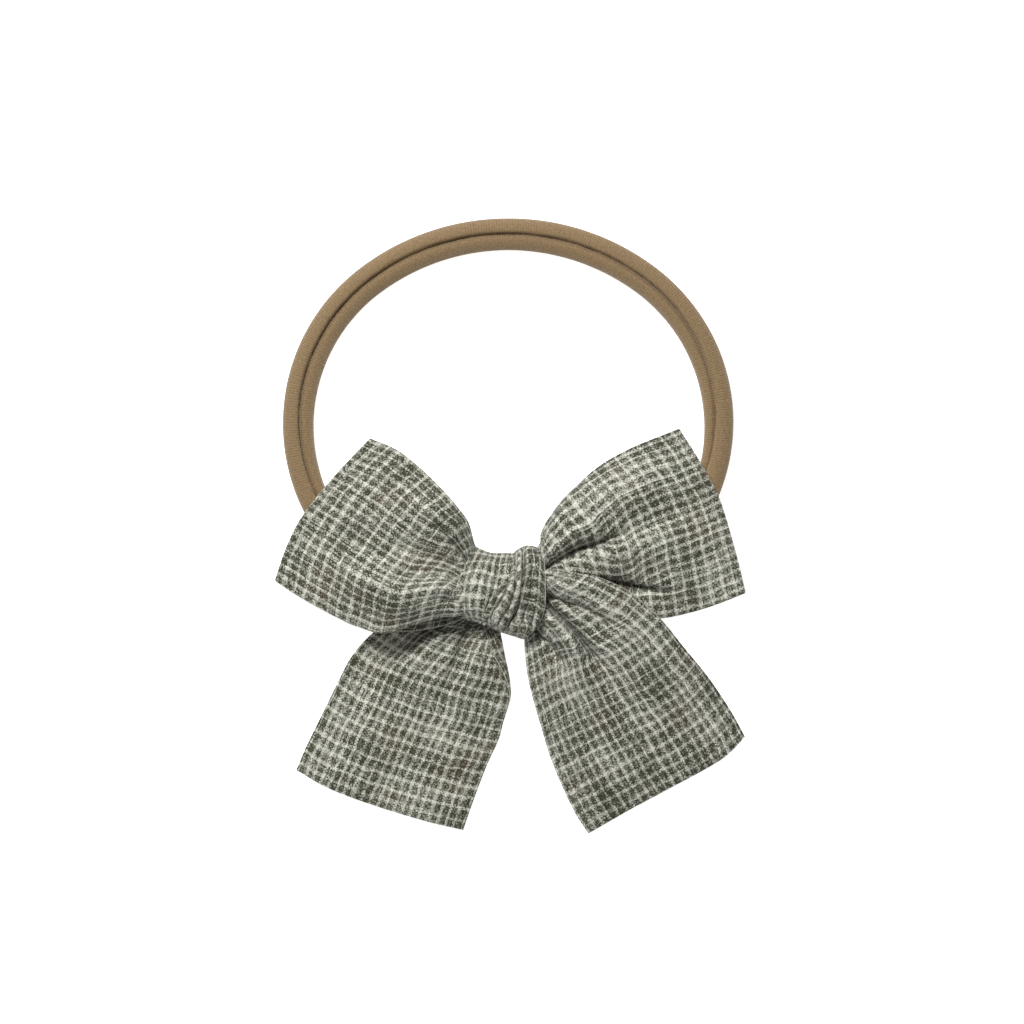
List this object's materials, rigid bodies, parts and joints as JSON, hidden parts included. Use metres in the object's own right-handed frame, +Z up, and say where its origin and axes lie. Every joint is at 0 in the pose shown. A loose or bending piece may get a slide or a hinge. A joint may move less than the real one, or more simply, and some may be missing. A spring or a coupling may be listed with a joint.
{
  "type": "hair bow headband",
  "caption": "Tied sash hair bow of small-check cloth, with two loops and two tails, knotted round a curled nylon headband ring.",
  "frame": {"origin": "centre of the oval ring, on the surface that the headband lies on", "axes": "+Z up out of the bow's face and along the axis of the head, -Y towards the bow, +X to the right as the bow is looked at"},
  "size_m": [0.1143, 0.1502, 0.0158],
  "materials": {
    "nylon_knit": "matte fine-rib knit",
    "join_thread": "matte thread",
    "check_cloth": "matte woven small check"
  },
  "bodies": {
    "band": {"nylon_band": "nylon_knit", "band_join_stitches": "join_thread"},
    "knot": {"knot_back_turn": "check_cloth", "knot_inner_crossing": "check_cloth", "knot_under_turn": "check_cloth", "knot_over_turn": "check_cloth", "left_tail_root": "check_cloth"},
    "left_loop": {"left_loop_front": "check_cloth", "left_loop_back": "check_cloth"},
    "right_loop": {"right_loop_front": "check_cloth", "right_loop_back": "check_cloth", "right_tail_root": "check_cloth"},
    "left_tail": {"left_tail_face": "check_cloth", "left_tail_backing": "check_cloth"},
    "right_tail": {"right_tail_face": "check_cloth", "right_tail_backing": "check_cloth"}
  },
  "joints": [
    {"name": "bow_swivel", "type": "hinge", "parent": "band", "child": "knot", "pos_m": [0, -0.0454, 0.0032], "axis": [1, 0, 0], "range_deg": [0, 90]},
    {"name": "left_loop_lift", "type": "hinge", "parent": "knot", "child": "left_loop", "pos_m": [-0.011, -0.04, 0.0134], "axis": [0, 1, 0], "range_deg": [0, 40]},
    {"name": "right_loop_lift", "type": "hinge", "parent": "knot", "child": "right_loop", "pos_m": [0.0092, -0.04, 0.0142], "axis": [0, -1, 0], "range_deg": [0, 40]},
    {"name": "left_tail_lift", "type": "hinge", "parent": "knot", "child": "left_tail", "pos_m": [-0.0172, -0.06025, 0.00269], "axis": [-0.9568, 0.2907, 0], "range_deg": [0, 60]},
    {"name": "right_tail_lift", "type": "hinge", "parent": "right_loop", "child": "right_tail", "pos_m": [0.02184, -0.06048, 0.01169], "axis": [-0.7769, -0.6296, 0], "range_deg": [0, 60]}
  ]
}
